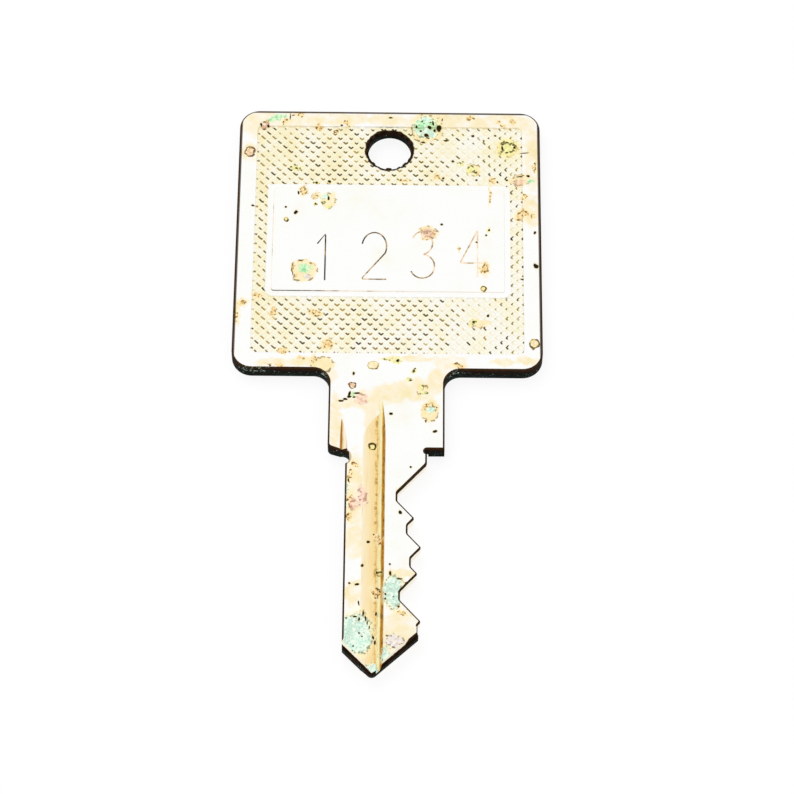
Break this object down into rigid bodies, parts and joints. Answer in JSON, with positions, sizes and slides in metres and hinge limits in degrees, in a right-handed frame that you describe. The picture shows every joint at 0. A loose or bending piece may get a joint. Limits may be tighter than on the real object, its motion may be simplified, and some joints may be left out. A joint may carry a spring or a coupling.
{
  "type": "hotel room key",
  "caption": "Flat brass room key with a square coined bow, a ring hole, a neck with two stops, and a milled blade cut for lock pins.",
  "frame": {"origin": "where the blade enters the lock: in the plane of the back face, on the centre line of the bow, level with the stop that meets the face of the lock", "axes": "+Y along the key from the tip to the bow, +Z out of the numbered face, +X towards the cut edge of the blade"},
  "size_m": [0.0348, 0.0713, 0.0019],
  "materials": {
    "brass": "pale worn yellow brass, coined and milled, with tan tarnish and spots of green verdigris"
  },
  "bodies": {
    "root": {"key": "brass"}
  },
  "joints": []
}
